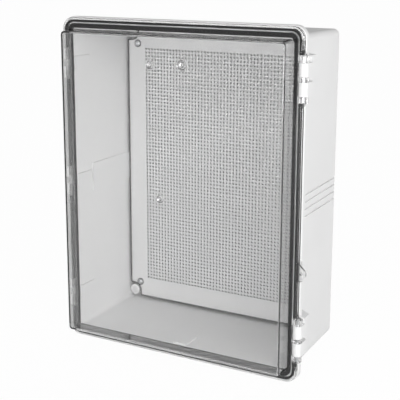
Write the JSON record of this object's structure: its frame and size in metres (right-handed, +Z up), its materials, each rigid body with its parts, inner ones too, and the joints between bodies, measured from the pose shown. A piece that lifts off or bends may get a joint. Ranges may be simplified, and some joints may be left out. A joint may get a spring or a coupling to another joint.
{
  "type": "hinged polycarbonate enclosure",
  "caption": "Wall enclosure with a white moulded box, a clear raised hinged cover, draw latches and a perforated mounting panel for circuit modules.",
  "frame": {"origin": "centre of the rear face that lies on the wall", "axes": "+X to the hinge side, +Y back into the wall, +Z up"},
  "size_m": [0.4325, 0.208, 0.532],
  "materials": {
    "box_plastic": "light grey polycarbonate with a fine moulded grain",
    "latch_plastic": "light grey moulded plastic",
    "clear_cover": "clear polished polycarbonate",
    "seal_rubber": "matte foamed rubber",
    "panel_coat": "light grey powder coat",
    "steel": "bright steel",
    "brass": "turned brass",
    "plug_plastic": "light grey plastic"
  },
  "bodies": {
    "box": {"base_box": "box_plastic", "mounting_panel": "panel_coat", "panel_screws": "steel", "panel_inserts": "brass", "wall_hole_plugs": "plug_plastic", "hinge_pin_upper": "steel", "hinge_pin_lower": "steel", "latch_lever_pins_top": "steel", "latch_lever_pins_middle": "steel", "latch_lever_pins_bottom": "steel"},
    "lid": {"cover": "clear_cover", "gasket": "seal_rubber"},
    "lever_top": {"latch_lever_top": "latch_plastic", "latch_claw_pin_top": "steel"},
    "claw_top": {"latch_claw_top": "latch_plastic"},
    "lever_middle": {"latch_lever_middle": "latch_plastic", "latch_claw_pin_middle": "steel"},
    "claw_middle": {"latch_claw_middle": "latch_plastic"},
    "lever_bottom": {"latch_lever_bottom": "latch_plastic", "latch_claw_pin_bottom": "steel"},
    "claw_bottom": {"latch_claw_bottom": "latch_plastic"}
  },
  "joints": [
    {"name": "cover_hinge", "type": "hinge", "parent": "box", "child": "lid", "pos_m": [0.2052, -0.1775, -0.002], "axis": [0, 0, 1], "range_deg": [0, 120]},
    {"name": "latch_lever_top_pivot", "type": "hinge", "parent": "box", "child": "lever_top", "pos_m": [-0.2095, -0.153, 0.192], "axis": [0, 0, 1], "range_deg": [0, 100]},
    {"name": "latch_claw_top_pivot", "type": "hinge", "parent": "lever_top", "child": "claw_top", "pos_m": [-0.208, -0.143, 0.192], "axis": [0, 0, 1], "range_deg": [-100, 0]},
    {"name": "latch_lever_middle_pivot", "type": "hinge", "parent": "box", "child": "lever_middle", "pos_m": [-0.2095, -0.153, 0], "axis": [0, 0, 1], "range_deg": [0, 100]},
    {"name": "latch_claw_middle_pivot", "type": "hinge", "parent": "lever_middle", "child": "claw_middle", "pos_m": [-0.208, -0.143, 0], "axis": [0, 0, 1], "range_deg": [-100, 0]},
    {"name": "latch_lever_bottom_pivot", "type": "hinge", "parent": "box", "child": "lever_bottom", "pos_m": [-0.2095, -0.153, -0.192], "axis": [0, 0, 1], "range_deg": [0, 100]},
    {"name": "latch_claw_bottom_pivot", "type": "hinge", "parent": "lever_bottom", "child": "claw_bottom", "pos_m": [-0.208, -0.143, -0.192], "axis": [0, 0, 1], "range_deg": [-100, 0]}
  ],
  "couplings": [
    {"joint": "latch_claw_top_pivot", "follows": "latch_lever_top_pivot", "ratio": -1},
    {"joint": "latch_claw_middle_pivot", "follows": "latch_lever_middle_pivot", "ratio": -1},
    {"joint": "latch_claw_bottom_pivot", "follows": "latch_lever_bottom_pivot", "ratio": -1}
  ]
}
